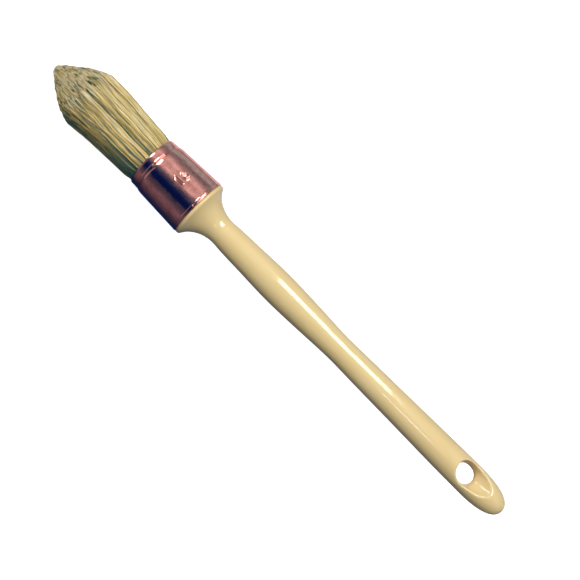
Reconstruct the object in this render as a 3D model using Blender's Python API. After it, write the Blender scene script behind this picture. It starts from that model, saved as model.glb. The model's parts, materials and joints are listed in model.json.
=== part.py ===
"""Round sash brush with a pointed bristle tuft, built as the pieces it comes apart into.

The brush lies along X with the bristle tip at +X and the handle's end at -X.
It rests on z = 0, and the origin is under the middle of its length.
Outlines are lists of (x, radius) in metres, measured from the brush's own axis.
"""

import math

import bmesh
import bpy
from mathutils import Vector

MM = 0.001

# Lengths along the brush
TUFT_LENGTH = 50.45 * MM         # bristle that stands out of the ferrule
FERRULE_LENGTH = 25.0 * MM
HANDLE_LENGTH = 160.75 * MM      # handle that shows behind the ferrule
OVERALL_LENGTH = TUFT_LENGTH + FERRULE_LENGTH + HANDLE_LENGTH
GAP = 0.3 * MM                   # left between pieces that touch

# Ferrule
COLLAR_RADIUS = 10.93 * MM
FERRULE_FRONT_RADIUS = 11.43 * MM
FERRULE_REAR_RADIUS = 12.28 * MM
FERRULE_WALL = 0.45 * MM
COLLAR_LENGTH = 3.1 * MM

# Handle
SPIGOT_LENGTH = 10.0 * MM
RIM_RADIUS = 11.88 * MM
NECK_RADIUS = 5.42 * MM
NECK_FROM_RIM = 12.85 * MM
FLARE_POWER = 2.2
END_RADIUS = 6.44 * MM
END_CAP_LENGTH = 17.2 * MM
END_CAP_POWER = 2.3
HOLE_RADIUS = 4.3 * MM
HOLE_FROM_END = 20.0 * MM
SCOOP_AXES = (10.0 * MM, 4.55 * MM, 4.6 * MM)
SCOOP_FROM_HOLE = 4.2 * MM
SCOOP_RISE = 6.7 * MM
SCOOP_TILT = math.radians(26)    # each scoop deepens towards the hole

# Tuft
MOUTH_RADIUS = 10.4 * MM
BELLY_RADIUS = 12.55 * MM
BELLY_FROM_MOUTH = 31.95 * MM
TUFT_SPREAD_POWER = 1.2
BEND_SPHERE_RADIUS = 12.3 * MM   # the tuft flexes outside this sphere
CORE_SHARE = 0.34                # the core bundle's share of the tuft's radius
INNER_SHARE = 0.68
OUTER_BUNDLES = 12
INNER_BUNDLES = 6
LAYER_GAP = 0.018                # as a share of the tuft's radius
BUNDLE_HALF_GAP = 0.19 * MM

# Inside the ferrule
RESIN_LENGTH = 6.7 * MM
PLUG_RADIUS = 3.5 * MM

SIDES = 32                       # facets round a turned piece, one of them facing down
TUFT_FACET = math.radians(15)    # facet round the tuft

TIP_X = OVERALL_LENGTH / 2
MOUTH_X = TIP_X - TUFT_LENGTH
REAR_X = MOUTH_X - FERRULE_LENGTH
END_X = -OVERALL_LENGTH / 2
HOLE_X = END_X + HOLE_FROM_END
AXIS_Z = BELLY_RADIUS * math.cos(TUFT_FACET / 2)

IVORY = ((0.82, 0.66, 0.36), 0.12, 0.0)
COPPER = ((0.62, 0.28, 0.21), 0.28, 1.0)
RESIN = ((0.55, 0.36, 0.12), 0.25, 0.0)
BEECH = ((0.66, 0.46, 0.27), 0.60, 0.0)
BRISTLE = ((0.60, 0.47, 0.22), 0.55, 0.0)


def clear_scene():
    for thing in list(bpy.data.objects):
        bpy.data.objects.remove(thing, do_unlink=True)


def make_material(name, look):
    colour, roughness, metallic = look
    material = bpy.data.materials.new(name)
    material.use_nodes = True
    shader = material.node_tree.nodes["Principled BSDF"]
    shader.inputs["Base Color"].default_value = (*colour, 1.0)
    shader.inputs["Roughness"].default_value = roughness
    shader.inputs["Metallic"].default_value = metallic
    return material


def make_object(name, bm, look):
    """Turn a bmesh into a smooth-shaded object with its own material."""
    bmesh.ops.remove_doubles(bm, verts=bm.verts, dist=1e-6)
    bmesh.ops.recalc_face_normals(bm, faces=bm.faces)
    mesh = bpy.data.meshes.new(name)
    bm.to_mesh(mesh)
    bm.free()
    mesh.shade_smooth()
    mesh.set_sharp_from_angle(angle=math.radians(35))
    mesh.materials.append(make_material(name, look))
    thing = bpy.data.objects.new(name, mesh)
    bpy.context.collection.objects.link(thing)
    thing.location.z = AXIS_Z
    return thing


def turned(name, outline, look, closed=False):
    """Turn an outline round the brush's axis. An open outline starts and ends on the axis."""
    bm = bmesh.new()
    tilt = math.pi / SIDES
    ring = [bm.verts.new((x, -r * math.sin(tilt), -r * math.cos(tilt))) for x, r in outline]
    edges = [bm.edges.new(pair) for pair in zip(ring, ring[1:])]
    if closed:
        edges.append(bm.edges.new((ring[-1], ring[0])))
    bmesh.ops.spin(
        bm,
        geom=ring + edges,
        cent=(0, 0, 0),
        axis=(1, 0, 0),
        angle=2 * math.pi,
        steps=SIDES,
        use_merge=True,
    )
    return make_object(name, bm, look)


def smooth_curve(keys, steps):
    """Points on a smooth curve through the keys, level at both ends, with steps between each pair."""
    points = []
    last = len(keys) - 1
    slopes = [0.0]
    for before, after in zip(keys, keys[2:]):
        slopes.append((after[1] - before[1]) / (after[0] - before[0]))
    slopes.append(0.0)
    for i in range(last):
        (x0, y0), (x1, y1) = keys[i], keys[i + 1]
        span = x1 - x0
        for k in range(steps):
            t = k / steps
            blend = t * t * (3 - 2 * t)
            y = y0 + (y1 - y0) * blend
            y += span * slopes[i] * t * (1 - t) ** 2
            y -= span * slopes[i + 1] * t * t * (1 - t)
            points.append((x0 + span * t, y))
    points.append(keys[-1])
    return points


def solve(function, low, high):
    """The place between low and high where a falling function crosses zero."""
    for _ in range(40):
        middle = (low + high) / 2
        if function(middle) > 0:
            low = middle
        else:
            high = middle
    return (low + high) / 2


# Handle: one moulding, from the spigot inside the ferrule to the rounded end

def handle_outline():
    """Outline of the handle, with distances taken from the ferrule's rear edge."""
    spigot = [
        (-SPIGOT_LENGTH, 0.0),
        (-SPIGOT_LENGTH, 10.3 * MM),
        (-SPIGOT_LENGTH + 0.6 * MM, 10.85 * MM),
        (GAP, 11.25 * MM),
        (GAP, RIM_RADIUS - 0.15 * MM),
        (GAP + 0.2 * MM, RIM_RADIUS),
    ]
    flare_start = 1.0 * MM
    flare = []
    for k in range(8):
        share = 1 - k / 8
        distance = NECK_FROM_RIM - (NECK_FROM_RIM - flare_start) * share
        radius = NECK_RADIUS + (RIM_RADIUS - NECK_RADIUS) * share ** FLARE_POWER
        flare.append((distance, radius))
    shank_keys = [
        (NECK_FROM_RIM, NECK_RADIUS),
        (16.5 * MM, 5.63 * MM),
        (29.5 * MM, 6.16 * MM),
        (42.0 * MM, 6.49 * MM),     # swell of the grip
        (57.5 * MM, 6.09 * MM),
        (76.0 * MM, 5.34 * MM),     # waist
        (100.5 * MM, 5.79 * MM),
        (124.5 * MM, 6.23 * MM),
        (HANDLE_LENGTH - END_CAP_LENGTH, END_RADIUS),
    ]
    shank = smooth_curve(shank_keys, 2)
    cap = []
    for k in range(1, 9):
        share = math.sin(math.pi / 2 * k / 8)
        radius = END_RADIUS * (1 - share ** END_CAP_POWER) ** (1 / END_CAP_POWER)
        cap.append((HANDLE_LENGTH - END_CAP_LENGTH * (1 - share), radius))
    cap[-1] = (HANDLE_LENGTH, 0.0)
    return [(REAR_X - distance, radius) for distance, radius in spigot + flare + shank + cap]


def make_cutter(name, bm, location):
    mesh = bpy.data.meshes.new(name)
    bm.to_mesh(mesh)
    bm.free()
    cutter = bpy.data.objects.new(name, mesh)
    bpy.context.collection.objects.link(cutter)
    cutter.location = location
    cutter.hide_render = True
    cutter.display_type = 'WIRE'
    return cutter


def hanging_hole_cutters():
    """A round hole straight through, and a spoon-shaped ramp behind it on both faces."""
    bm = bmesh.new()
    bmesh.ops.create_cone(
        bm,
        cap_ends=True,
        segments=32,
        radius1=HOLE_RADIUS,
        radius2=HOLE_RADIUS,
        depth=4 * END_RADIUS,
    )
    cutters = [make_cutter("hole_cutter", bm, (HOLE_X, 0, AXIS_Z))]
    for label, side in (("upper", 1), ("lower", -1)):
        bm = bmesh.new()
        bmesh.ops.create_icosphere(bm, subdivisions=3, radius=1.0)
        bmesh.ops.scale(bm, verts=bm.verts, vec=Vector(SCOOP_AXES))
        place = (HOLE_X - SCOOP_FROM_HOLE, 0, AXIS_Z + side * SCOOP_RISE)
        cutter = make_cutter(f"{label}_scoop_cutter", bm, place)
        cutter.rotation_euler.y = side * SCOOP_TILT
        cutters.append(cutter)
    return cutters


def make_handle():
    handle = turned("handle", handle_outline(), IVORY)
    for cutter in hanging_hole_cutters():
        cut = handle.modifiers.new(cutter.name, 'BOOLEAN')
        cut.operation = 'DIFFERENCE'
        cut.solver = 'EXACT'
        cut.object = cutter


# Ferrule: one drawn copper sleeve with a narrower collar at the mouth

def make_ferrule():
    outer = [
        (0.0, 10.15 * MM),
        (0.15 * MM, 10.45 * MM),
        (1.0 * MM, COLLAR_RADIUS - 0.06 * MM),
        (COLLAR_LENGTH - 0.5 * MM, COLLAR_RADIUS),
        (COLLAR_LENGTH, COLLAR_RADIUS - 0.1 * MM),
        (COLLAR_LENGTH + 0.4 * MM, COLLAR_RADIUS + 0.05 * MM),
        (COLLAR_LENGTH + 1.1 * MM, FERRULE_FRONT_RADIUS - 0.12 * MM),
        (COLLAR_LENGTH + 1.9 * MM, FERRULE_FRONT_RADIUS),
        (FERRULE_LENGTH - 1.2 * MM, FERRULE_REAR_RADIUS - 0.05 * MM),
        (FERRULE_LENGTH - 0.4 * MM, FERRULE_REAR_RADIUS),
        (FERRULE_LENGTH, FERRULE_REAR_RADIUS - 0.2 * MM),
    ]
    inner = [
        (FERRULE_LENGTH, FERRULE_REAR_RADIUS - FERRULE_WALL),
        (COLLAR_LENGTH + 1.9 * MM, FERRULE_FRONT_RADIUS - FERRULE_WALL),
        (COLLAR_LENGTH + 0.4 * MM, COLLAR_RADIUS - FERRULE_WALL),
        (0.0, COLLAR_RADIUS - FERRULE_WALL - 0.35 * MM),
    ]
    outline = [(MOUTH_X - distance, radius) for distance, radius in outer + inner]
    turned("ferrule", outline, COPPER, closed=True)


# Inside the ferrule: resin that sets the roots, a wooden plug, and the bristles' roots

def make_setting_resin():
    front = MOUTH_X - FERRULE_LENGTH + SPIGOT_LENGTH + GAP + RESIN_LENGTH
    back = front - RESIN_LENGTH
    outline = [
        (back, 0.0),
        (back, 10.95 * MM),
        (front, 10.65 * MM),
        (front, 0.0),
    ]
    turned("setting_resin", outline, RESIN)
    return front


def make_core_plug(seat):
    base = seat + GAP
    nose = MOUTH_X - 0.5 * MM
    outline = [
        (base, 0.0),
        (base, PLUG_RADIUS),
        (nose - 1.0 * MM, PLUG_RADIUS),
        (nose - 0.3 * MM, PLUG_RADIUS - 0.7 * MM),
        (nose, PLUG_RADIUS - 1.6 * MM),
        (nose, 0.0),
    ]
    turned("core_plug", outline, BEECH)


def tuft_radius(distance):
    """Radius of the tuft's outside at a distance from the ferrule's mouth."""
    share = max(distance, 0.0) / BELLY_FROM_MOUTH
    return MOUTH_RADIUS + (BELLY_RADIUS - MOUTH_RADIUS) * min(share, 1.0) ** TUFT_SPREAD_POWER


def head_radius(distance):
    """Radius of the pointed head that the bristle ends form."""
    keys = [
        (0.0, 0.0),
        (0.4 * MM, 1.35 * MM),
        (1.5 * MM, 2.46 * MM),
        (6.0 * MM, 6.15 * MM),
        (10.5 * MM, 9.39 * MM),
        (15.0 * MM, 11.46 * MM),
        (17.4 * MM, 12.36 * MM),
        (TUFT_LENGTH - BELLY_FROM_MOUTH, BELLY_RADIUS),
    ]
    from_tip = TUFT_LENGTH - distance
    for (x0, y0), (x1, y1) in zip(keys, keys[1:]):
        if from_tip <= x1:
            return y0 + (y1 - y0) * (from_tip - x0) / (x1 - x0)
    return BELLY_RADIUS + (from_tip - keys[-1][0])


def strand_start(share):
    """Where a strand leaves the bending sphere; share is its part of the tuft's radius."""
    sphere = BEND_SPHERE_RADIUS + GAP
    return solve(lambda x: sphere ** 2 - x ** 2 - (share * tuft_radius(x)) ** 2, 0.0, sphere)


def strand_end(share):
    """Where a strand ends on the pointed head."""
    return solve(lambda x: head_radius(x) - share * tuft_radius(x), 0.0, TUFT_LENGTH)


def make_bristle_roots(seat):
    """Set bristles inside the ferrule, and the dome that stays still when the tuft bends."""
    base = seat + GAP
    bore = PLUG_RADIUS + GAP
    rim = solve(lambda x: BEND_SPHERE_RADIUS ** 2 - x ** 2 - tuft_radius(x) ** 2, 0.0, TUFT_LENGTH)
    outline = [
        (MOUTH_X - 0.15 * MM, 0.0),
        (MOUTH_X - 0.15 * MM, bore),
        (base, bore),
        (base, 10.65 * MM),
        (MOUTH_X - COLLAR_LENGTH - 1.9 * MM, 10.5 * MM),
        (MOUTH_X - COLLAR_LENGTH - 0.4 * MM, 10.0 * MM),
        (MOUTH_X, 9.65 * MM),
        (MOUTH_X + 0.35 * MM, 9.7 * MM),
        (MOUTH_X + 0.7 * MM, MOUTH_RADIUS),
    ]
    for share in (0.5, 1.0):
        outline.append((MOUTH_X + rim * share, tuft_radius(rim * share)))
    start = math.asin(rim / BEND_SPHERE_RADIUS)
    for k in range(1, 7):
        angle = start + (math.pi / 2 - start) * k / 6
        radius = BEND_SPHERE_RADIUS * math.cos(angle)
        outline.append((MOUTH_X + BEND_SPHERE_RADIUS * math.sin(angle), radius))
    outline[-1] = (MOUTH_X + BEND_SPHERE_RADIUS, 0.0)
    turned("bristle_roots", outline, BRISTLE)


# Tuft: thousands of bristles, grouped into bundles that part from one another

def make_core_bundle():
    share = CORE_SHARE - LAYER_GAP
    sphere = BEND_SPHERE_RADIUS + GAP
    outline = [(MOUTH_X + sphere, 0.0)]
    start, end = strand_start(share), strand_end(share)
    for k in range(6):
        distance = start + (end - start) * k / 5
        outline.append((MOUTH_X + distance, share * tuft_radius(distance)))
    for k in range(4, 0, -1):
        part = share * k / 5
        distance = strand_end(part)
        outline.append((MOUTH_X + distance, part * tuft_radius(distance)))
    outline.append((TIP_X, 0.0))
    turned("bristle_bundle_core", outline, BRISTLE)


def make_wedge_bundle(name, shares, angles, facets):
    """A bundle between two shares of the radius and two angles round the brush's axis."""
    layers, steps = 3, 7
    bm = bmesh.new()
    grid = {}
    for i in range(layers + 1):
        share = shares[0] + (shares[1] - shares[0]) * i / layers
        start, end = strand_start(share), strand_end(share)
        for k in range(steps + 1):
            distance = start + (end - start) * k / steps
            radius = share * tuft_radius(distance)
            margin = BUNDLE_HALF_GAP / radius
            for j in range(facets + 1):
                angle = angles[0] + (angles[1] - angles[0]) * j / facets
                if j == 0:
                    angle += margin
                if j == facets:
                    angle -= margin
                place = (MOUTH_X + distance, radius * math.cos(angle), radius * math.sin(angle))
                grid[i, j, k] = bm.verts.new(place)

    def skin(count_a, count_b, corner):
        for a in range(count_a):
            for b in range(count_b):
                bm.faces.new([corner(a, b), corner(a + 1, b), corner(a + 1, b + 1), corner(a, b + 1)])

    for edge in (0, layers):
        skin(facets, steps, lambda a, b: grid[edge, a, b])
    for edge in (0, facets):
        skin(layers, steps, lambda a, b: grid[a, edge, b])
    for edge in (0, steps):
        skin(layers, facets, lambda a, b: grid[a, b, edge])
    return make_object(name, bm, BRISTLE)


def make_ring_of_bundles(prefix, count, shares):
    """Equal bundles round the axis, starting half a facet off straight down."""
    sweep = 2 * math.pi / count
    digits = len(str(count))
    for k in range(count):
        start = -math.pi / 2 - TUFT_FACET / 2 + k * sweep
        name = f"{prefix}_{k + 1:0{digits}d}"
        make_wedge_bundle(name, shares, (start, start + sweep), round(sweep / TUFT_FACET))


def main():
    clear_scene()
    make_handle()
    make_ferrule()
    seat = make_setting_resin()
    make_core_plug(seat)
    make_bristle_roots(seat)
    make_core_bundle()
    inner = (CORE_SHARE + LAYER_GAP, INNER_SHARE - LAYER_GAP)
    outer = (INNER_SHARE + LAYER_GAP, 1.0)
    make_ring_of_bundles("bristle_bundle_inner", INNER_BUNDLES, inner)
    make_ring_of_bundles("bristle_bundle_outer", OUTER_BUNDLES, outer)


main()
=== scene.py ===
"""Looks of a round sash brush: glossy ivory handle, stamped copper ferrule, natural bristle.

Meshes are built in millimetres, in the brush's own frame: x from the ferrule's mouth towards
the bristle tip, z up. place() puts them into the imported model's frame, in metres.
"""

import json
import math

import bpy
import numpy as np
from mathutils import Matrix, Vector

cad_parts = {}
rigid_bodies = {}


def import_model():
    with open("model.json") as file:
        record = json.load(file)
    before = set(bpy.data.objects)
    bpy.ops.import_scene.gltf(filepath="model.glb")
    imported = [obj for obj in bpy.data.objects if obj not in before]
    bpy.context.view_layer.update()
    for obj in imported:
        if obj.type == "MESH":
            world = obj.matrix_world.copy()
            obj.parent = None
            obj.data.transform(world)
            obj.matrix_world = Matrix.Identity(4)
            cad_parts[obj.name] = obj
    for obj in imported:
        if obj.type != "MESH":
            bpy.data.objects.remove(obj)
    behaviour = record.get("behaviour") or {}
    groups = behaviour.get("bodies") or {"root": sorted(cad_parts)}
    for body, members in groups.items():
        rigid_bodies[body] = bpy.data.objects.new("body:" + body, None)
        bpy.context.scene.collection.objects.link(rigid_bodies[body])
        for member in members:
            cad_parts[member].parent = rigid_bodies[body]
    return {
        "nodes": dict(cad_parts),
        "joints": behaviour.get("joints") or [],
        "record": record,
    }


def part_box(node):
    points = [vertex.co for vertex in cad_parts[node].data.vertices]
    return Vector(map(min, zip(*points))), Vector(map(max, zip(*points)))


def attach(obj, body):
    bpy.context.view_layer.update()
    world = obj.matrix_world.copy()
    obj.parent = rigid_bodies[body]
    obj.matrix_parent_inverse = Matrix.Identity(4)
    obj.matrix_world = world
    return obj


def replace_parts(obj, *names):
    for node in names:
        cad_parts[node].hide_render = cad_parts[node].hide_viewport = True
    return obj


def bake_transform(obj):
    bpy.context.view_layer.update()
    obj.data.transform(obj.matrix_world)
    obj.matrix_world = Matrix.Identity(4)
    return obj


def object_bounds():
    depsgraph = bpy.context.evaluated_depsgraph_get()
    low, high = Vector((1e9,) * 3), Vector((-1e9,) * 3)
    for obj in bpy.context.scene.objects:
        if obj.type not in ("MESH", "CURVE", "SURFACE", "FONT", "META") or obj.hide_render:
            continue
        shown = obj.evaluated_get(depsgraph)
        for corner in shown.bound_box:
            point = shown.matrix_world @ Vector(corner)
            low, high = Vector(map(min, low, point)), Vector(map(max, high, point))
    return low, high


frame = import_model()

CAD_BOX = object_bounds()
MM = 0.001

HINGE = frame["joints"][0]
MOUTH = Vector(HINGE["pos_m"])
FIXED, TUFT = HINGE["parent"], HINGE["child"]
RECORD = frame["record"]

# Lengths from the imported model, in millimetres from the ferrule's mouth
TIP = (CAD_BOX[1].x - MOUTH.x) / MM
FERRULE_LENGTH = (MOUTH.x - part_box("ferrule")[0].x) / MM
END = (CAD_BOX[0].x - MOUTH.x) / MM
HANDLE_LENGTH = -END - FERRULE_LENGTH
HOLE_X = (RECORD["mounts"][0]["pos_m"][0] - MOUTH.x) / MM

# Handle, in millimetres; distances run from the ferrule's rear edge
SPIGOT_LENGTH = 10.0
SPIGOT_RADIUS = 11.0
RIM_RADIUS = 11.88
RIM_TOP = 12.1
NECK_RADIUS = 5.42
NECK_FROM_RIM = 12.85
RIM_GAP = 0.05                    # between the ferrule's rear edge and the handle's rim
FLARE_START = 1.5                 # the flare's rim is a short cylinder up to here
FLARE_POWER = 2.1
SHOULDER_POWER = 8.0              # the steeper part of the flare, next to its rim
SHOULDER_SHARE = 0.22
END_RADIUS = 6.44
END_CAP_LENGTH = 17.2
END_CAP_POWER = 2.45
HOLE_RADIUS = 3.9
SCOOP_AXES = (10.0, 4.6, 4.8)
SCOOP_FROM_HOLE = 4.2
SCOOP_RISE = 6.7
SCOOP_TILT = math.radians(26)     # each thumb scoop deepens towards the hole
SCOOP_BLEND = 2.2                 # widths of the rounded creases
HOLE_EDGE_BLEND = 1.2
RIM_TOP_BLEND = 0.9
RIM_EDGE_BLEND = 0.3

# Ferrule, in millimetres; distances run from the mouth
COLLAR_RADIUS = 10.88
COLLAR_LENGTH = 3.6
COLLAR_ROUND = 1.2                # length of the rounding at the mouth
COLLAR_DROP = 0.45                # and how far it comes in
STEP_HEIGHT = 0.50                # the body starts this far below its taper, and rises over STEP_FADE
STEP_FADE = 0.75
TAPER_START = 5.0
BODY_FRONT_RADIUS = 11.44
BODY_REAR_RADIUS = 12.28
FERRULE_WALL = 0.45
STAMP_FROM_MOUTH = 14.0
STAMP_ANGLE = math.radians(4)     # round from the top, towards -Y
STAMP_HALF_WIDTH = 3.6            # the finely meshed patch round the stamp
STAMP_HALF_LENGTH = 2.6
GROOVE_DEPTH = 0.18
LIP_HEIGHT = 0.085

# Tuft, in millimetres
MOUTH_RADIUS = 10.65
BELLY_RADIUS = 12.5
BELLY_FROM_MOUTH = 31.95
TUFT_SPREAD_POWER = 1.2
THROAT_RADIUS = 9.8               # bristle as it leaves the ferrule
SKIN = 0.20                       # how far the outer bristles may stand off the outline
ROOT = -2.5                       # where the bristles start, inside the ferrule
CLUMPS = 950                      # bristles leave the ferrule in clumps
CORE_SHARE = 0.34                 # of the tuft's radius, where the core and the inner bristles end
INNER_SHARE = 0.68
OUTER_SECTORS = 3                 # pieces round the outside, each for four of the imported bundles
SECTOR_START = -math.pi / 2 - math.radians(7.5)   # the edge of the first packed outer bundle
OUTER = {"per_clump": 8, "stations": 17, "thickness": 0.125}
INNER = {"per_clump": 6, "stations": 7, "thickness": 0.145}

# Tone of the bristles, from 0 for dark to 1 for pale
MEAN_TONE = 0.71
SHADED_SIDE_ANGLE = math.radians(-14)   # middle of the side in painted shade, from +Y towards +Z
SHADED_SIDE_TONE = 0.45                 # painted shade darkens that side by this
SHADED_SIDE_CALM = 0.48                 # and takes away this share of the differences between bristles
BURIED_SHADE_TONE = 0.30                # painted shade: bristles below the tuft's surface are darker by this
# painted shade: the root pack's one dark tone
ROOT_SHADE_TONE = 0.12

# Studio, in millimetres from the brush's middle. The camera and the lights are turned round the
# brush's axis by VIEW_ROLL, away from the hole's axis.
VIEW_ROLL = math.radians(14.3)
CAMERA_DISTANCE = 450.0
CAMERA_PLACE = (-3.4, -2.55)      # along the brush and across it
PICTURE_WIDTH = 217.5             # across the picture at the brush
PICTURE_TURN = math.radians(-135)
AIM_LIMIT = 70                    # no light points at a place nearer the tip than this
FLOOR_HALF = 3.0                  # metres


# Small maths

def soft_min(a, b, width):
    """The smaller of two fields, with the crease between them rounded over a width."""
    overlap = np.maximum(width - np.abs(a - b), 0) / width
    return np.minimum(a, b) - overlap ** 2 * width / 4


def soft_max(a, b, width):
    return -soft_min(-a, -b, width)


def smoothstep(low, high, x):
    t = np.clip((x - low) / (high - low), 0, 1)
    return t * t * (3 - 2 * t)


def level_spline(keys):
    """A smooth cubic curve through the keys, level at both ends, as a function."""
    x, y = np.array(keys, float).T
    h = np.diff(x)
    slope = np.diff(y) / h
    n = len(x)
    matrix = np.zeros((n, n))
    right = np.zeros(n)
    matrix[0, :2] = 2 * h[0], h[0]
    right[0] = 6 * slope[0]
    matrix[-1, -2:] = h[-1], 2 * h[-1]
    right[-1] = -6 * slope[-1]
    for i in range(1, n - 1):
        matrix[i, i - 1:i + 2] = h[i - 1], 2 * (h[i - 1] + h[i]), h[i]
        right[i] = 6 * (slope[i] - slope[i - 1])
    bend = np.linalg.solve(matrix, right)

    def value(t):
        i = np.clip(np.searchsorted(x, t) - 1, 0, n - 2)
        a = (x[i + 1] - t) / h[i]
        b = (t - x[i]) / h[i]
        curve = ((a ** 3 - a) * bend[i] + (b ** 3 - b) * bend[i + 1]) * h[i] ** 2 / 6
        return a * y[i] + b * y[i + 1] + curve

    return value


# Mesh helpers

def place(points):
    """Brush millimetres to model metres."""
    return np.asarray(points, float) * MM + np.array(MOUTH)


def make_piece(name, points, faces, material):
    """A smooth-shaded object from points in brush millimetres and faces of any size."""
    mesh = bpy.data.meshes.new(name)
    sizes = [len(face) for face in faces]
    flat = np.concatenate(faces)
    mesh.vertices.add(len(points))
    mesh.vertices.foreach_set("co", place(points).ravel())
    mesh.loops.add(len(flat))
    mesh.loops.foreach_set("vertex_index", flat.astype(np.int32))
    mesh.polygons.add(len(sizes))
    starts = np.concatenate([[0], np.cumsum(sizes)[:-1]])
    mesh.polygons.foreach_set("loop_start", starts.astype(np.int32))
    mesh.update(calc_edges=True)
    mesh.validate()
    mesh.shade_smooth()
    mesh.materials.append(material)
    piece = bpy.data.objects.new(name, mesh)
    bpy.context.scene.collection.objects.link(piece)
    return piece


def set_tones(piece, tones):
    """Store a tone for each point, for the bristle material."""
    attribute = piece.data.attributes.new("tone", 'FLOAT', 'POINT')
    attribute.data.foreach_set("value", tones.astype(np.float32))


def surface_net(field, low, high, step):
    """A closed quad mesh over the surface where a field is zero; the field is negative inside."""
    axes = [np.arange(a, b + step, step) for a, b in zip(low, high)]
    grid = np.stack(np.meshgrid(*axes, indexing="ij"), -1)
    values = field(grid)
    inside = values < 0
    shape = np.array(values.shape) - 1

    def corner(array, c):
        return array[c[0]:c[0] + shape[0], c[1]:c[1] + shape[1], c[2]:c[2] + shape[2]]

    corners = [np.array(c) for c in np.ndindex(2, 2, 2)]
    count = sum(corner(inside, c).astype(np.int8) for c in corners)
    active = (count > 0) & (count < 8)
    index = np.full(tuple(shape), -1)
    index[active] = np.arange(active.sum())
    total = np.zeros((active.sum(), 3))
    hits = np.zeros(active.sum())
    for c in corners:
        for axis in range(3):
            if c[axis] == 0:
                d = c.copy()
                d[axis] = 1
                start, end = corner(values, c)[active], corner(values, d)[active]
                cross = (start < 0) != (end < 0)
                share = np.where(cross, start / np.where(cross, start - end, 1), 0)
                total[cross] += c + share[cross, None] * (d - c)
                hits += cross
    points = np.array(low) + (np.argwhere(active) + total / hits[:, None]) * step
    quads = []
    for axis in range(3):
        u, v = (axis + 1) % 3, (axis + 2) % 3
        near = [slice(1, -1)] * 3
        far = [slice(1, -1)] * 3
        near[axis], far[axis] = slice(0, -1), slice(1, None)
        before, after = inside[tuple(near)], inside[tuple(far)]
        cells = np.argwhere(before != after)
        shift = np.ones(3, int)
        shift[axis] = 0
        cells = cells + shift
        leaving = before[before != after]
        eu, ev = np.eye(3, dtype=int)[u], np.eye(3, dtype=int)[v]
        ring = [cells - eu - ev, cells - ev, cells, cells - eu]
        quad = np.stack([index[tuple(r.T)] for r in ring], 1)
        quads.append(np.where(leaving[:, None], quad, quad[:, ::-1]))
    return points, np.concatenate(quads)


def gradient(field, points, step=0.01):
    """The slope of a field at some points, by differences."""
    result = np.empty_like(points)
    for axis in range(3):
        shift = np.zeros(3)
        shift[axis] = step
        result[:, axis] = (field(points + shift) - field(points - shift)) / (2 * step)
    return result


def onto_surface(field, points, rounds=3):
    """Move points along the slope to where the field is zero."""
    for _ in range(rounds):
        slope = gradient(field, points)
        points = points - (field(points) / (slope ** 2).sum(1))[:, None] * slope
    return points


def relax(points, quads, rounds, field):
    """Even out the spacing of a mesh's points while they stay on the surface."""
    ends = np.concatenate([quads[:, [a, (a + 1) % 4]] for a in range(4)])
    ends = np.concatenate([ends, ends[:, ::-1]])
    degree = np.bincount(ends[:, 0], minlength=len(points))
    for _ in range(rounds):
        mean = np.stack([
            np.bincount(ends[:, 0], weights=points[ends[:, 1], axis], minlength=len(points))
            for axis in range(3)
        ], 1) / degree[:, None]
        points = onto_surface(field, (points + mean) / 2, rounds=1)
    return onto_surface(field, points)


# Material helpers

def new_material(name, base, roughness, metallic=0.0):
    """A Principled material, its node tree and its shader."""
    material = bpy.data.materials.new(name)
    material.use_nodes = True
    tree = material.node_tree
    shader = tree.nodes["Principled BSDF"]
    shader.inputs["Base Color"].default_value = (*base, 1)
    shader.inputs["Roughness"].default_value = roughness
    shader.inputs["Metallic"].default_value = metallic
    return material, tree, shader


def node(tree, kind, **settings):
    """A new node; each setting is an input's value or, failing that, a property."""
    made = tree.nodes.new(kind)
    for name, value in settings.items():
        if name in made.inputs:
            made.inputs[name].default_value = value
        else:
            setattr(made, name, value)
    return made


def ramp(tree, source, stops):
    """A colour ramp driven by source; stops are (position, colour) with linear RGB colours."""
    made = tree.nodes.new("ShaderNodeValToRGB")
    elements = made.color_ramp.elements
    elements[0].position, elements[0].color = stops[0][0], (*stops[0][1], 1)
    elements[1].position, elements[1].color = stops[-1][0], (*stops[-1][1], 1)
    for position, colour in stops[1:-1]:
        element = elements.new(position)
        element.color = (*colour, 1)
    tree.links.new(source, made.inputs["Fac"])
    return made.outputs["Color"]


def remap(tree, source, low, high):
    """A noise value from 0..1 to low..high."""
    made = node(tree, "ShaderNodeMapRange", **{"To Min": low, "To Max": high})
    tree.links.new(source, made.inputs["Value"])
    return made.outputs["Result"]


def noise(tree, scale, detail=3.0, roughness=0.5, stretch=(1, 1, 1)):
    """Noise on the object's own coordinates; scale is in bumps per metre."""
    coords = tree.nodes.new("ShaderNodeTexCoord")
    mapping = node(tree, "ShaderNodeMapping", Scale=stretch)
    made = node(tree, "ShaderNodeTexNoise", Scale=scale, Detail=detail, Roughness=roughness)
    tree.links.new(coords.outputs["Object"], mapping.inputs["Vector"])
    tree.links.new(mapping.outputs["Vector"], made.inputs["Vector"])
    return made.outputs["Fac"]


def mix_colour(tree, factor, a, b, blend='MIX'):
    """Colour a turning to b by a factor; each is a socket, a linear RGB colour or a number."""
    made = node(tree, "ShaderNodeMix", data_type='RGBA', blend_type=blend)
    for socket, value in ((made.inputs[0], factor), (made.inputs[6], a), (made.inputs[7], b)):
        if isinstance(value, bpy.types.NodeSocket):
            tree.links.new(value, socket)
        elif isinstance(value, tuple):
            socket.default_value = (*value, 1)
        else:
            socket.default_value = value
    return made.outputs[2]


def bump(tree, shader, layers):
    """Bump from (height source, depth in metres) layers, one over the other."""
    normal = None
    for height, depth in layers:
        made = node(tree, "ShaderNodeBump", Strength=1.0, Distance=depth)
        tree.links.new(height, made.inputs["Height"])
        if normal:
            tree.links.new(normal, made.inputs["Normal"])
        normal = made.outputs["Normal"]
    tree.links.new(normal, shader.inputs["Normal"])


# Materials

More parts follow.
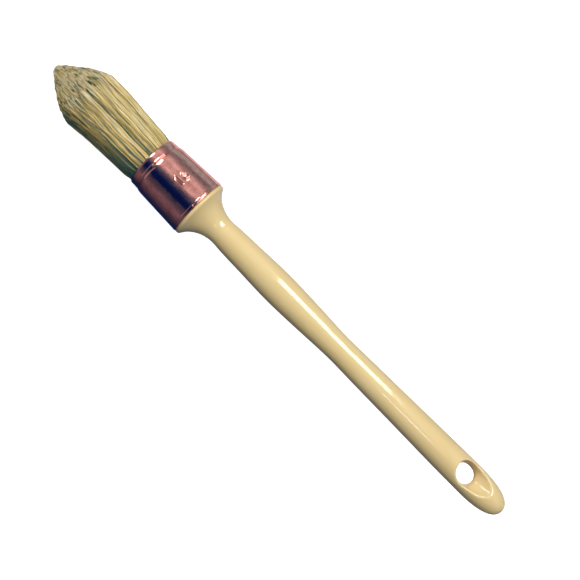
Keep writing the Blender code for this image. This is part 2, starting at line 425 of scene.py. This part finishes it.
def ivory_material():
    """Glossy moulded ivory plastic: slight yellowing, faint handling haze, moulding ripple."""
    material, tree, shader = new_material("ivory_plastic", (0.80, 0.62, 0.33), 0.1)
    cloud = noise(tree, 55, detail=4)
    colour = ramp(tree, cloud, [
        (0.30, (0.830, 0.624, 0.288)),
        (0.52, (0.855, 0.650, 0.312)),
        (0.75, (0.870, 0.667, 0.338)),
    ])
    specks = noise(tree, 1900, detail=2, roughness=0.7)
    speck_mask = ramp(tree, specks, [(0.72, (0, 0, 0)), (0.80, (0.16, 0.16, 0.16))])
    colour = mix_colour(tree, speck_mask, colour, (0.52, 0.36, 0.16))
    tree.links.new(colour, shader.inputs["Base Color"])
    haze = noise(tree, 140, detail=5, roughness=0.6)
    tree.links.new(remap(tree, haze, 0.04, 0.13), shader.inputs["Roughness"])
    shader.inputs["IOR"].default_value = 1.5
    shader.inputs["Coat Weight"].default_value = 0.25
    shader.inputs["Coat Roughness"].default_value = 0.04
    ripple = noise(tree, 110, detail=2)
    peel = noise(tree, 1400, detail=2)
    bump(tree, shader, [(ripple, 0.00006), (peel, 0.0000025)])
    return material


def copper_material():
    """Drawn copper: lathe lines round it, handling tarnish, and shallow unevenness."""
    material, tree, shader = new_material("copper", (0.80, 0.40, 0.32), 0.2, metallic=1.0)
    tarnish = noise(tree, 420, detail=6, roughness=0.62)
    colour = ramp(tree, tarnish, [
        (0.28, (0.62, 0.28, 0.23)),
        (0.45, (0.80, 0.38, 0.31)),
        (0.60, (0.87, 0.44, 0.35)),
        (0.78, (0.93, 0.51, 0.41)),
    ])
    spots = noise(tree, 1500, detail=3, roughness=0.7)
    spot_mask = ramp(tree, spots, [(0.64, (0, 0, 0)), (0.74, (0.5, 0.5, 0.5))])
    colour = mix_colour(tree, spot_mask, colour, (0.30, 0.13, 0.12))
    tree.links.new(colour, shader.inputs["Base Color"])
    wear = noise(tree, 700, detail=5, roughness=0.65)
    tree.links.new(remap(tree, wear, 0.07, 0.17), shader.inputs["Roughness"])
    dents = noise(tree, 260, detail=3)
    lines = noise(tree, 160, detail=4, roughness=0.7, stretch=(26, 1, 1))
    bump(tree, shader, [(dents, 0.00014), (lines, 0.000004)])
    return material


def bristle_material():
    """Natural hog bristle, coloured by a tone for each point, which holds each bristle's own tone and
    painted shade, with a faint streak along it.
    """
    material, tree, shader = new_material("bristle", (0.55, 0.42, 0.20), 0.45)
    shader.inputs["Specular IOR Level"].default_value = 0.12
    tone = node(tree, "ShaderNodeAttribute", attribute_name="tone").outputs["Fac"]
    # the cool dark low end of the ramp is the colour of painted shade: the tuft's shaded side and the root
    # pack
    colour = ramp(tree, tone, [
        (0.00, (0.032, 0.110, 0.115)),
        (0.16, (0.098, 0.185, 0.155)),
        (0.24, (0.190, 0.240, 0.155)),
        (0.30, (0.440, 0.320, 0.120)),
        (0.48, (0.820, 0.600, 0.220)),
        (0.72, (0.975, 0.775, 0.340)),
        (1.00, (0.980, 0.880, 0.620)),
    ])
    streak = noise(tree, 900, detail=4, roughness=0.65, stretch=(0.16, 1, 1))
    shade = ramp(tree, streak, [(0.30, (0.72, 0.70, 0.62)), (0.62, (1.0, 1.0, 1.0))])
    colour = mix_colour(tree, 1.0, colour, shade, blend='MULTIPLY')
    tree.links.new(colour, shader.inputs["Base Color"])
    tree.links.new(remap(tree, streak, 0.32, 0.6), shader.inputs["Roughness"])
    scales = noise(tree, 5200, detail=2)
    bump(tree, shader, [(scales, 0.000008)])
    return material


def resin_material():
    """Cast amber resin, slightly cloudy."""
    material, tree, shader = new_material("resin", (0.55, 0.36, 0.12), 0.2)
    cloud = noise(tree, 300, detail=4)
    colour = ramp(tree, cloud, [(0.3, (0.36, 0.20, 0.05)), (0.7, (0.64, 0.43, 0.16))])
    tree.links.new(colour, shader.inputs["Base Color"])
    tree.links.new(remap(tree, noise(tree, 900), 0.12, 0.35), shader.inputs["Roughness"])
    bump(tree, shader, [(noise(tree, 1200), 0.00005)])
    return material


def beech_material():
    """Plain turned wood with its grain along the brush."""
    material, tree, shader = new_material("beech", (0.66, 0.46, 0.27), 0.6)
    grain = noise(tree, 500, detail=5, roughness=0.6, stretch=(0.12, 1, 1))
    colour = ramp(tree, grain, [(0.3, (0.45, 0.27, 0.13)), (0.7, (0.72, 0.51, 0.31))])
    tree.links.new(colour, shader.inputs["Base Color"])
    tree.links.new(remap(tree, grain, 0.5, 0.75), shader.inputs["Roughness"])
    bump(tree, shader, [(grain, 0.00006)])
    return material


# Handle: one glossy moulding with a hanging hole and a spoon-shaped ramp on both faces

# Radius of the handle behind its flare, by the distance from the ferrule's rear edge
shank_radius = level_spline([
    (NECK_FROM_RIM, NECK_RADIUS),
    (16.0, 5.60),
    (25.0, 5.96),
    (34.0, 6.30),
    (42.0, 6.49),                # swell of the grip
    (50.5, 6.33),
    (61.0, 5.89),
    (70.0, 5.47),
    (76.0, 5.34),                # waist
    (83.5, 5.49),
    (100.5, 5.79),
    (120.5, 6.17),
    (HANDLE_LENGTH - END_CAP_LENGTH, END_RADIUS),
])


def handle_radius(distance):
    """Radius of the handle at a distance behind the ferrule's rear edge."""
    share = np.clip(1 - (distance - FLARE_START) / (NECK_FROM_RIM - FLARE_START), 0, None)
    rise = (1 - SHOULDER_SHARE) * share ** FLARE_POWER + SHOULDER_SHARE * share ** SHOULDER_POWER
    flare = NECK_RADIUS + (RIM_RADIUS - NECK_RADIUS) * rise
    flare = soft_min(flare, RIM_TOP, RIM_TOP_BLEND)
    shank = shank_radius(np.clip(distance, NECK_FROM_RIM, HANDLE_LENGTH - END_CAP_LENGTH))
    return np.where(distance < NECK_FROM_RIM, flare, shank)


def handle_field(points):
    """Negative inside the handle, zero on its surface."""
    x, y, z = np.moveaxis(points, -1, 0)
    distance = -FERRULE_LENGTH - x
    radius = np.hypot(y, z)
    cap_start = HANDLE_LENGTH - END_CAP_LENGTH
    reach = np.clip((distance - cap_start) / END_CAP_LENGTH, 0, None)
    power = END_CAP_POWER
    cap = END_RADIUS * ((reach ** power + (radius / END_RADIUS) ** power) ** (1 / power) - 1)
    body = np.where(distance > cap_start, cap, radius - handle_radius(distance))
    body = soft_max(body, RIM_GAP - distance, RIM_EDGE_BLEND)
    spigot = soft_max(radius - SPIGOT_RADIUS, -SPIGOT_LENGTH - distance, 0.6)
    spigot = soft_max(spigot, distance - 0.5, 0.2)
    body = np.minimum(body, spigot)
    along = x - HOLE_X
    hole = np.hypot(along, y) - HOLE_RADIUS
    tilt_cos, tilt_sin = math.cos(SCOOP_TILT), math.sin(SCOOP_TILT)
    for side in (-1, 1):
        ahead, above = along + SCOOP_FROM_HOLE, side * z - SCOOP_RISE
        turned = (ahead * tilt_cos - above * tilt_sin, y, ahead * tilt_sin + above * tilt_cos)
        offset = np.stack(turned, -1) / SCOOP_AXES
        size = np.linalg.norm(offset, axis=-1)
        slope = np.linalg.norm(offset / SCOOP_AXES, axis=-1)
        scoop = size * (size - 1) / np.maximum(slope, 1e-6)
        hole = soft_min(hole, scoop, SCOOP_BLEND)
    return soft_max(body, -hole, HOLE_EDGE_BLEND)


def make_handle(material):
    step = 0.4
    reach = RIM_TOP + 1.2
    low = (END - 1.0, -reach, -reach)
    high = (-FERRULE_LENGTH + SPIGOT_LENGTH + 1.0, reach, reach)
    points, quads = surface_net(handle_field, low, high, step)
    points = relax(onto_surface(handle_field, points), quads, 3, handle_field)
    piece = make_piece("handle_moulding", points, quads, material)
    normals = gradient(handle_field, points)
    normals /= np.linalg.norm(normals, axis=1)[:, None]
    piece.data.normals_split_custom_set_from_vertices(normals.tolist())
    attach(piece, FIXED)
    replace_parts(piece, "handle")


# Ferrule: drawn copper sleeve with a collar, a beaded rear edge and a stamped size number

def ferrule_outside(distance):
    """Outer radius of the ferrule at a distance behind its mouth."""
    def ring(centre, height, width, steep=1.0):
        """A bead or groove round the ferrule, whose rear side is steeper than its front."""
        ahead = distance - centre
        return height * np.exp(-(ahead / (width * np.where(ahead > 0, 1 / steep, 1.0))) ** 2)

    taper = (BODY_REAR_RADIUS - BODY_FRONT_RADIUS) / (FERRULE_LENGTH - TAPER_START)
    body = BODY_FRONT_RADIUS + taper * (distance - TAPER_START)
    shoulder = body - STEP_HEIGHT * np.exp(-np.clip(distance - COLLAR_LENGTH, 0, None) / STEP_FADE)
    nose = np.clip(1 - distance / COLLAR_ROUND, 0, 1)
    collar = COLLAR_RADIUS - COLLAR_DROP * (1 - np.sqrt(1 - nose ** 2 * 0.98)) + 0.01 * distance
    radius = collar + (shoulder - collar) * smoothstep(COLLAR_LENGTH - 0.05, COLLAR_LENGTH + 0.25, distance)
    radius = radius + ring(COLLAR_LENGTH - 0.5, 0.13, 0.36, steep=2.2) + ring(COLLAR_LENGTH, -0.18, 0.13)
    radius = radius + ring(FERRULE_LENGTH - 1.05, 0.12, 0.24, steep=1.6)
    return radius + ring(FERRULE_LENGTH - 0.35, -0.12, 0.14)


def ferrule_inside(distance):
    return ferrule_outside(np.clip(distance, 0.4, FERRULE_LENGTH - 1.0)) - FERRULE_WALL


def stamp_strokes():
    """Points along the strokes of a plain two-figure size number, in millimetres."""
    def line(a, b):
        return np.linspace(a, b, 40)

    def arc(centre, radius, start, end):
        angle = np.radians(np.linspace(start, end, 80))
        return np.stack([centre[0] + radius * np.cos(angle), centre[1] + radius * np.sin(angle)], 1)

    one = [line((-1.45, -1.75), (-1.45, 1.75)), line((-1.45, 1.75), (-2.35, 0.95))]
    six = [
        arc((1.35, -0.75), 1.0, 0, 360),
        arc((2.45, -0.60), 2.10, 182, 112),
    ]
    return np.concatenate(one + six)


def stamp_depth(across, along):
    """How far the stamped number sinks the surface, and the lip it pushes up."""
    near = np.full(across.shape, 10.0)
    for a, b in stamp_strokes():
        near = np.minimum(near, np.hypot(across - a, along - b))
    groove = -GROOVE_DEPTH * (1 - smoothstep(0.05, 0.28, near))
    lip = LIP_HEIGHT * np.exp(-((near - 0.42) / 0.15) ** 2)
    return groove + lip


def uneven_steps(low, high, fine_low, fine_high, coarse, fine):
    """Steps from low to high, fine between two places and coarse elsewhere."""
    parts = [
        np.linspace(low, fine_low, max(2, round((fine_low - low) / coarse)), endpoint=False),
        np.linspace(fine_low, fine_high, round((fine_high - fine_low) / fine), endpoint=False),
        np.linspace(fine_high, high, max(2, round((high - fine_high) / coarse))),
    ]
    return np.concatenate(parts)


def make_ferrule(material):
    middle = BODY_FRONT_RADIUS + 0.4
    fine = 0.09
    half_angle = STAMP_HALF_WIDTH / middle
    angles = uneven_steps(-math.pi, math.pi, -half_angle, half_angle, 0.045, fine / middle)[:-1]
    patch_low, patch_high = STAMP_FROM_MOUTH - STAMP_HALF_LENGTH, STAMP_FROM_MOUTH + STAMP_HALF_LENGTH
    front_end, rear_start = 6.4, 22.6
    first, last = 0.25, FERRULE_LENGTH - 0.25
    front = np.linspace(first, front_end, 84)
    body = uneven_steps(front_end, rear_start, patch_low, patch_high, 0.5, fine)[1:]
    rear = np.linspace(rear_start, last, 40)[1:]
    first_radius, last_radius = float(ferrule_outside(first)), float(ferrule_outside(last))
    outline = [(0.0, first_radius - 0.24), (0.08, first_radius - 0.10)]
    outline += [(d, float(ferrule_outside(d))) for d in np.concatenate([front, body, rear])]
    outline += [(FERRULE_LENGTH - 0.07, last_radius - 0.09), (FERRULE_LENGTH, last_radius - 0.24)]
    inner = [FERRULE_LENGTH, 22.0, 14.0, 6.0, 4.6, 3.4, 1.0, 0.1]
    outline += [(d, float(ferrule_inside(d))) for d in inner]
    outline = np.array(outline)
    d, r = outline[:, 0][:, None], outline[:, 1][:, None]
    across = angles[None, :] * middle
    stamped = (d > patch_low) & (d < patch_high) & (r > ferrule_outside(d) - 0.1)
    r = r + np.where(stamped, stamp_depth(across + 0 * d, STAMP_FROM_MOUTH - d + 0 * across), 0)
    around = angles[None, :] + STAMP_ANGLE
    points = np.stack([-d + 0 * around, -r * np.sin(around), r * np.cos(around)], -1)
    rows, columns = points.shape[:2]
    index = np.arange(rows * columns).reshape(rows, columns)
    beside, behind = np.roll(index, -1, axis=1), np.roll(index, -1, axis=0)
    quads = np.stack([index, beside, np.roll(beside, -1, axis=0), behind], -1).reshape(-1, 4)
    piece = make_piece("ferrule_sleeve", points.reshape(-1, 3), quads, material)
    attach(piece, FIXED)
    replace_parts(piece, "ferrule")


# Tuft

def tuft_radius(x):
    """Radius of the tuft's outside at a distance in front of the mouth."""
    share = np.clip(x / BELLY_FROM_MOUTH, 0, 1)
    spread = MOUTH_RADIUS + (BELLY_RADIUS - MOUTH_RADIUS) * share ** TUFT_SPREAD_POWER
    return THROAT_RADIUS + (spread - THROAT_RADIUS) * smoothstep(0.0, 1.6, x)


# Outline of the pointed head: distance behind the tip, and radius
HEAD_KEYS = np.array([
    (0.0, 0.0),
    (0.4, 1.35),
    (1.5, 2.5),
    (6.0, 6.15),
    (10.5, 9.39),
    (15.0, 11.46),
    (17.4, 12.36),
    (18.5, 12.55),
])


def head_end(radius):
    """Where the pointed head cuts off a bristle that runs at a radius."""
    return TIP - np.interp(radius, HEAD_KEYS[:, 1], HEAD_KEYS[:, 0])


def wander(random, count, x, short, long):
    """Smooth sideways tracks of count strands along x, in two directions, about one unit high."""
    total = np.zeros((count, len(x), 2))
    for _ in range(3):
        length = random.uniform(short, long, (count, 1, 2))
        phase = random.uniform(0, 2 * math.pi, (count, 1, 2))
        size = random.normal(0, 0.8, (count, 1, 2))
        total += size * np.sin(2 * math.pi * x[None, :, None] / length + phase)
    return total


def furrows(angle, x):
    """Depth of the long valleys between the locks on the outside of the tuft."""
    depth = 0
    for ridges, turn, bend, height in (
            (7, 0.6, 0.30, 0.16), (12, 2.1, -0.42, 0.16), (19, 4.4, 0.55, 0.15), (31, 1.3, -0.8, 0.12)):
        depth = depth + height * (1 + np.sin(ridges * angle + turn + bend * np.sin(x / 9 + turn)))
    return depth * (0.35 + 0.65 * np.clip(x / TIP, 0, 1))


# How far the tuft leans towards -Y along its length
lean = level_spline([(0.0, -0.02), (27.0, 0.26), (TIP, -0.60)])


def sway(random, x, across, up):
    """How neighbouring locks drift together: slow waves over the tuft, in two directions."""
    drift = 0
    for _ in range(9):
        facing = random.uniform(0, 2 * math.pi)
        ridge = 2 * math.pi / random.uniform(1.8, 5.0)
        stretch = 2 * math.pi / random.uniform(8, 26)
        phase = ridge * (across * math.cos(facing) + up * math.sin(facing)) + stretch * x
        height = random.normal(0, 0.115, 2)
        drift = drift + height * np.sin(phase + random.uniform(0, 2 * math.pi))[..., None]
    return drift


def shaded_side(angle, x):
    """Share of the painted shade, cool and dark, that runs along the tuft's side turned from the lights,
    from the ferrule.
    """
    from_middle = np.abs((angle - SHADED_SIDE_ANGLE + math.pi) % (2 * math.pi) - math.pi)
    narrower = 1 + 0.30 * smoothstep(2, 34, x)
    return (1 - smoothstep(0.60, 1.45, from_middle * narrower)) * (1 - smoothstep(33, 47, x))


def bristle_tracks(random, shares, angles, owner, grid):
    """How far every bristle strays from its straight path along the grid, outwards and around."""
    count = len(owner)
    reach = np.clip(grid / TIP, 0, 1)[None, :, None]
    across = (shares * BELLY_RADIUS * np.cos(angles))[:, None]
    up = (shares * BELLY_RADIUS * np.sin(angles))[:, None]
    clump_path = wander(random, len(shares), grid, 12, 40) * (0.03 + 0.22 * reach)
    clump_path += sway(np.random.RandomState(3), grid[None, :], across, up) * (0.05 + 0.95 * reach)
    own_path = wander(random, count, grid, 7, 22) * (0.02 + 0.20 * reach ** 1.5)
    gather = random.uniform(0.08, 0.38, count)[:, None, None] * (0.8 + 0.2 * reach)
    spin = random.uniform(0, 2 * math.pi, count)[:, None]
    turn = spin + random.normal(0, 2.2, count)[:, None] * reach[..., 0]
    own_path = own_path + gather * np.stack([np.cos(turn), np.sin(turn)], -1)
    return clump_path[owner] + own_path


def bristle_tone(shade, tip_shade, t, x, angle, depth):
    """Tone along every bristle: its own, its cut end's, and painted shade: on the tuft's side turned from
    the lights, on bristles below the surface, and a painted shadow at the mouth.
    """
    tip = smoothstep(0.78, 1.0, t)
    # painted shade: bristles below the tuft's surface are darker, except at their cut ends
    buried_shade = smoothstep(0.3, 1.3, depth) * (1 - tip)
    side_shade = shaded_side(angle[:, None], x)
    # besides each bristle's own tone, this holds the painted shade of buried bristles
    own = shade[:, None] + tip_shade[:, None] * tip - BURIED_SHADE_TONE * buried_shade
    # painted shade: the side turned from the lights is darker and cooler, with less difference between
    # bristles
    tone = MEAN_TONE - SHADED_SIDE_TONE * side_shade + (1 - SHADED_SIDE_CALM * side_shade) * own
    # painted shadow of the ferrule's mouth, darkest right at it and fading over the first 18 mm
    tone = tone - 0.18 * (1 - smoothstep(0.2, 1.8, x)) - 0.13 * (1 - smoothstep(2, 18, x))
    return np.clip(tone, 0.02, 1)


def grow_bristles(random, shares, angles, per_clump, stations, thickness):
    """Centre lines, radii and tones of bristles in clumps that leave the ferrule together."""
    clumps = len(shares)
    count = clumps * per_clump
    owner = np.repeat(np.arange(clumps), per_clump)
    share, angle = shares[owner], angles[owner]
    short = random.exponential(0.36, clumps)[owner] + random.exponential(0.42, count) - 0.25
    grid = np.linspace(ROOT, TIP, 60)
    path = bristle_tracks(random, shares, angles, owner, grid)
    stray = (random.uniform(0, 1, count) > 0.94)[:, None]
    t = np.linspace(0, 1, stations) ** 0.85

    def track(end):
        """Along, out from the axis, around it and the tuft's surface, at stations up to the ends."""
        x = ROOT + (end[:, None] - ROOT) * t[None, :]
        out, around = (
            np.stack([np.interp(x[i], grid, path[i, :, k]) for i in range(count)]) for k in range(2)
        )
        surface = tuft_radius(x) + SKIN
        valley = np.where(stray, 0.15, 1.0) * furrows(angle[:, None], x)
        closing = 1 - 0.20 * smoothstep(30, TIP + 4, x)
        radius = np.maximum(share[:, None] * tuft_radius(x) * closing + out, 0.02)
        return x, soft_min(radius, surface - valley, 0.9), around, surface

    end = head_end(share * BELLY_RADIUS)
    for _ in range(2):
        radius = track(end)[1]
        end = (end + head_end(np.clip(radius[:, -1], 0, BELLY_RADIUS))) / 2
    x, radius, around, surface = track(end - short)
    heading = angle[:, None] + around / np.maximum(radius, 2.0)
    y = radius * np.cos(heading) - lean(np.clip(x, 0, TIP))
    z = radius * np.sin(heading)

    kind = random.uniform(0, 1, count)
    shade = random.normal(0, 0.08, clumps)[owner] + random.normal(0, 0.21, count)
    shade = np.where(kind < 0.14, shade - 0.38, shade)
    shade = np.where(kind > 0.84, shade + 0.26, shade)
    size = thickness * random.uniform(0.75, 1.25, count)
    tip_shade = random.uniform(-0.30, 0.40, count)
    tip_shade = tip_shade + np.clip(random.normal(0, 0.45, clumps), -0.65, 0.25)[owner]
    tones = bristle_tone(shade, tip_shade, t, x, angle, surface - radius)
    taper = 1.0 - 0.25 * t ** 2
    return np.stack([x, y, z], -1), size[:, None] * taper[None, :], tones


def bristle_mesh(name, lines, radii, tones, material):
    """One closed four-sided tube for each bristle, all in one mesh."""
    count, stations = radii.shape
    sides = 4
    corner = np.arange(sides) * 2 * math.pi / sides
    ring = np.stack([0 * corner, np.cos(corner), np.sin(corner)], -1)
    points = lines[:, :, None, :] + radii[:, :, None, None] * ring[None, None]
    index = np.arange(count * stations * sides).reshape(count, stations, sides)
    a = index[:, :-1]
    b = np.roll(index, -1, axis=2)[:, :-1]
    c = np.roll(index, -1, axis=2)[:, 1:]
    d = index[:, 1:]
    quads = np.concatenate([np.stack([a, b, c, d], -1).reshape(-1, 4), index[:, 0, ::-1], index[:, -1]])
    piece = make_piece(name, points.reshape(-1, 3), quads, material)
    set_tones(piece, np.repeat(tones.ravel(), sides))
    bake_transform(piece)
    return piece


def make_bristles(material):
    """Clumps spread evenly over the tuft's section, as a core, a middle and three outer pieces."""
    random = np.random.RandomState(7)
    order = np.arange(CLUMPS) + 0.5
    shares = np.sqrt(order / CLUMPS)
    angles = order * math.pi * (3 - math.sqrt(5))
    shares = np.clip(shares + random.normal(0, 0.010, CLUMPS), 0.01, 0.995)
    angles = (angles + random.normal(0, 0.010, CLUMPS) / shares) % (2 * math.pi)

    def make(name, chosen, settings, replaced):
        grown = grow_bristles(random, shares[chosen], angles[chosen], **settings)
        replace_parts(bristle_mesh(name, *grown, material), *replaced)

    outer = shares > INNER_SHARE
    core = shares <= CORE_SHARE
    width = 2 * math.pi / OUTER_SECTORS
    for k in range(OUTER_SECTORS):
        start = SECTOR_START + k * width
        sector = outer & (((angles - start) % (2 * math.pi)) < width)
        bundles = [f"bristle_bundle_outer_{4 * k + n:02d}" for n in range(1, 5)]
        make(f"bristles_outer_{k + 1}", sector, OUTER, bundles)
    make("bristles_inner", ~outer & ~core, INNER, [f"bristle_bundle_inner_{n}" for n in range(1, 7)])
    make("bristles_core", core, INNER, ["bristle_bundle_core"])


def make_root_pack(material):
    """The set ends of the bristles: a ribbed plug inside the ferrule, domed at the mouth, in one dark tone
    that is painted shade where it shows between the bristles.
    """
    seat = -FERRULE_LENGTH + SPIGOT_LENGTH + 7.3      # where the resin ends
    bore = 3.8                                        # for the core plug
    profile = [(-0.15, 0.0), (-0.15, bore), (seat, bore), (seat, 10.6), (-5.0, 10.45),
               (-3.6, 9.9), (-2.0, 9.2), (0.5, 8.9), (3.0, 7.4), (4.4, 5.0), (5.2, 2.5), (5.4, 0.0)]
    columns = 240
    angles = np.arange(columns) * 2 * math.pi / columns
    ribs = 0.10 * np.cos(angles * 60)
    points = [(profile[0][0], 0.0, 0.0)]
    for x, r in profile[1:-1]:
        ridge = ribs if r > 4.5 else 0 * ribs
        points += list(zip(np.full(columns, x), (r + ridge) * np.cos(angles), (r + ridge) * np.sin(angles)))
    points.append((profile[-1][0], 0.0, 0.0))
    rings = len(profile) - 2
    faces = []
    last = len(points) - 1
    for j in range(columns):
        k = (j + 1) % columns
        faces.append((0, 1 + j, 1 + k))
        for i in range(rings - 1):
            base = 1 + i * columns
            faces.append((base + j, base + columns + j, base + columns + k, base + k))
        base = 1 + (rings - 1) * columns
        faces.append((base + j, last, base + k))
    piece = make_piece("bristle_root_pack", np.array(points), faces, material)
    set_tones(piece, np.full(len(points), ROOT_SHADE_TONE))
    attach(piece, FIXED)
    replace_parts(piece, "bristle_roots")


# Studio: pale floor, soft lights, a banded room for the copper, and a camera square to the brush

def make_floor():
    """Plain and pale; it neither lights the brush nor shows in its reflections."""
    lowest, half = CAD_BOX[0].z, FLOOR_HALF
    mesh = bpy.data.meshes.new("floor")
    corners = [(-half, -half), (half, -half), (half, half), (-half, half)]
    mesh.from_pydata([(x, y, lowest) for x, y in corners], [], [(0, 1, 2, 3)])
    floor = bpy.data.objects.new("floor", mesh)
    bpy.context.scene.collection.objects.link(floor)
    material, tree, shader = new_material("pale_floor", (0.90, 0.90, 0.90), 0.9)
    shader.inputs["Emission Color"].default_value = (1.0, 1.0, 1.0, 1)
    shader.inputs["Emission Strength"].default_value = 0.85
    shader.inputs["Specular IOR Level"].default_value = 0.0
    mesh.materials.append(material)
    floor.visible_diffuse = False
    floor.visible_glossy = False


def studio_point(along, across, up):
    """A place in the studio, whose up is the camera's: millimetres from the brush's middle."""
    tilt = Matrix.Rotation(-VIEW_ROLL, 4, 'X')
    return tilt @ (Vector((along, across, up)) * MM) + Vector((0, 0, MOUTH.z))


def make_area_light(name, place_mm, size_mm, radiance):
    """A rectangular light that faces the brush; its size is along the brush, then across."""
    width, height = size_mm[0] * MM, size_mm[1] * MM
    light = bpy.data.lights.new(name, 'AREA')
    light.shape = 'RECTANGLE'
    light.size, light.size_y = width, height
    light.energy = radiance * math.pi * width * height
    lamp = bpy.data.objects.new(name, light)
    bpy.context.scene.collection.objects.link(lamp)
    lamp.location = studio_point(*place_mm)
    target = studio_point(min(place_mm[0], AIM_LIMIT), 0, 0)
    z = (lamp.location - target).normalized()
    y = z.cross(Vector((1, 0, 0))).normalized()
    x = y.cross(z)
    lamp.rotation_euler = Matrix((x, y, z)).transposed().to_euler()
    return lamp


# Brightness of the room by angle round the brush's axis: 0 is straight up, positive towards -Y
ROOM = [
    (-180, (0.030, 0.060, 0.150)),
    (-136, (0.003, 0.018, 0.110)),
    (-118, (0.030, 0.036, 0.090)),
    (-98, (0.095, 0.080, 0.133)),
    (-82, (0.175, 0.140, 0.200)),
    (-68, (0.195, 0.160, 0.225)),
    (-60, (0.120, 0.110, 0.170)),
    (-47, (0.065, 0.075, 0.140)),
    (-39.5, (0.045, 0.060, 0.128)),
    (-35, (0.001, 0.010, 0.115)),
    (-17, (0.000, 0.012, 0.130)),
    (-9, (0.010, 0.040, 0.160)),
    (-3, (0.065, 0.085, 0.190)),
    (5, (0.180, 0.180, 0.280)),
    (11, (0.290, 0.285, 0.350)),
    (17, (0.720, 0.690, 0.710)),
    (23, (0.880, 0.780, 0.800)),
    (28, (0.680, 0.600, 0.650)),
    (41, (0.600, 0.545, 0.590)),
    (52, (0.880, 0.790, 0.830)),
    (62, (0.600, 0.585, 0.640)),
    (72, (0.350, 0.340, 0.390)),
    (84, (0.205, 0.245, 0.290)),
    (91, (0.215, 0.270, 0.315)),
    (99, (0.380, 0.480, 0.530)),
    (108, (0.440, 0.570, 0.640)),
    (122, (0.390, 0.480, 0.540)),
    (131, (0.260, 0.250, 0.280)),
    (143, (0.950, 0.760, 0.740)),
    (165, (0.700, 0.650, 0.700)),
    (180, (0.030, 0.060, 0.150)),
]

# The same angles for what matt surfaces get from the room
AMBIENT = [
    (-180, (0.030, 0.050, 0.058)),
    (-90, (0.004, 0.016, 0.018)),
    (0, (0.060, 0.080, 0.090)),
    (90, (0.064, 0.084, 0.098)),
    (180, (0.030, 0.050, 0.058)),
]

BACKDROP = (0.94, 0.94, 0.94)     # what is seen above the floor


def make_room():
    """The world: bands of brightness round the brush's axis for gloss, soft ones for matt surfaces."""
    world = bpy.data.worlds.new("studio")
    bpy.context.scene.world = world
    world.use_nodes = True
    tree = world.node_tree
    coords = tree.nodes.new("ShaderNodeTexCoord")
    untilt = node(tree, "ShaderNodeMapping", Rotation=(VIEW_ROLL, 0, 0))
    tree.links.new(coords.outputs["Generated"], untilt.inputs["Vector"])
    split = tree.nodes.new("ShaderNodeSeparateXYZ")
    tree.links.new(untilt.outputs["Vector"], split.inputs[0])
    flip = node(tree, "ShaderNodeMath", operation='MULTIPLY')
    flip.inputs[1].default_value = -1
    tree.links.new(split.outputs["Y"], flip.inputs[0])
    angle = node(tree, "ShaderNodeMath", operation='ARCTAN2')
    tree.links.new(flip.outputs[0], angle.inputs[0])
    tree.links.new(split.outputs["Z"], angle.inputs[1])
    turn = node(tree, "ShaderNodeMapRange", **{"From Min": -math.pi, "From Max": math.pi})
    tree.links.new(angle.outputs[0], turn.inputs["Value"])
    glossy, matt = (
        ramp(tree, turn.outputs["Result"], [((degrees + 180) / 360, colour) for degrees, colour in table])
        for table in (ROOM, AMBIENT)
    )
    path = tree.nodes.new("ShaderNodeLightPath")
    colour = mix_colour(tree, path.outputs["Is Diffuse Ray"], glossy, matt)
    colour = mix_colour(tree, path.outputs["Is Camera Ray"], colour, BACKDROP)
    tree.links.new(colour, tree.nodes["Background"].inputs["Color"])


def make_studio():
    """Lights are placed along, across and up, then sized, then given a radiance."""
    make_floor()
    make_room()
    make_area_light("softbox", (-39, -300, 336), (117, 225), 11.4)
    make_area_light("tip_side", (382, -129, 293), (240, 140), 7.0)
    make_area_light("overhead_strip", (-110, 42, 358), (50, 20), 12.0)
    side = make_area_light("handle_side", (-480, -40, 160), (240, 140), 6.8)
    side.visible_glossy = False
    card = make_area_light("low_card", (330, 185, 215), (120, 420), 0.25)
    card.visible_diffuse = False
    fill = make_area_light("overhead_fill", (-30, -5, 600), (500, 300), 2.85)
    fill.visible_glossy = False


def make_camera():
    """Square to the brush, rolled round its axis, with the tip up and to the left."""
    data = bpy.data.cameras.new("camera")
    data.sensor_width = 36.0
    data.lens = data.sensor_width * CAMERA_DISTANCE / PICTURE_WIDTH
    data.clip_start = 0.01
    camera = bpy.data.objects.new("camera", data)
    bpy.context.scene.collection.objects.link(camera)
    camera.location = studio_point(*CAMERA_PLACE, CAMERA_DISTANCE)
    tilt = Matrix.Rotation(-VIEW_ROLL, 3, 'X')
    camera.rotation_euler = (tilt @ Matrix.Rotation(PICTURE_TURN, 3, 'Z')).to_euler()
    bpy.context.scene.camera = camera


def finish_internal_nodes():
    """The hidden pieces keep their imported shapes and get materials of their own."""
    for name, material in (("setting_resin", resin_material()), ("core_plug", beech_material())):
        mesh = frame["nodes"][name].data
        mesh.materials.clear()
        mesh.materials.append(material)


def main():
    make_camera()
    make_studio()
    bpy.context.scene.view_settings.view_transform = 'Standard'
    finish_internal_nodes()
    make_handle(ivory_material())
    make_ferrule(copper_material())
    bristle = bristle_material()
    make_root_pack(bristle)
    make_bristles(bristle)


main()
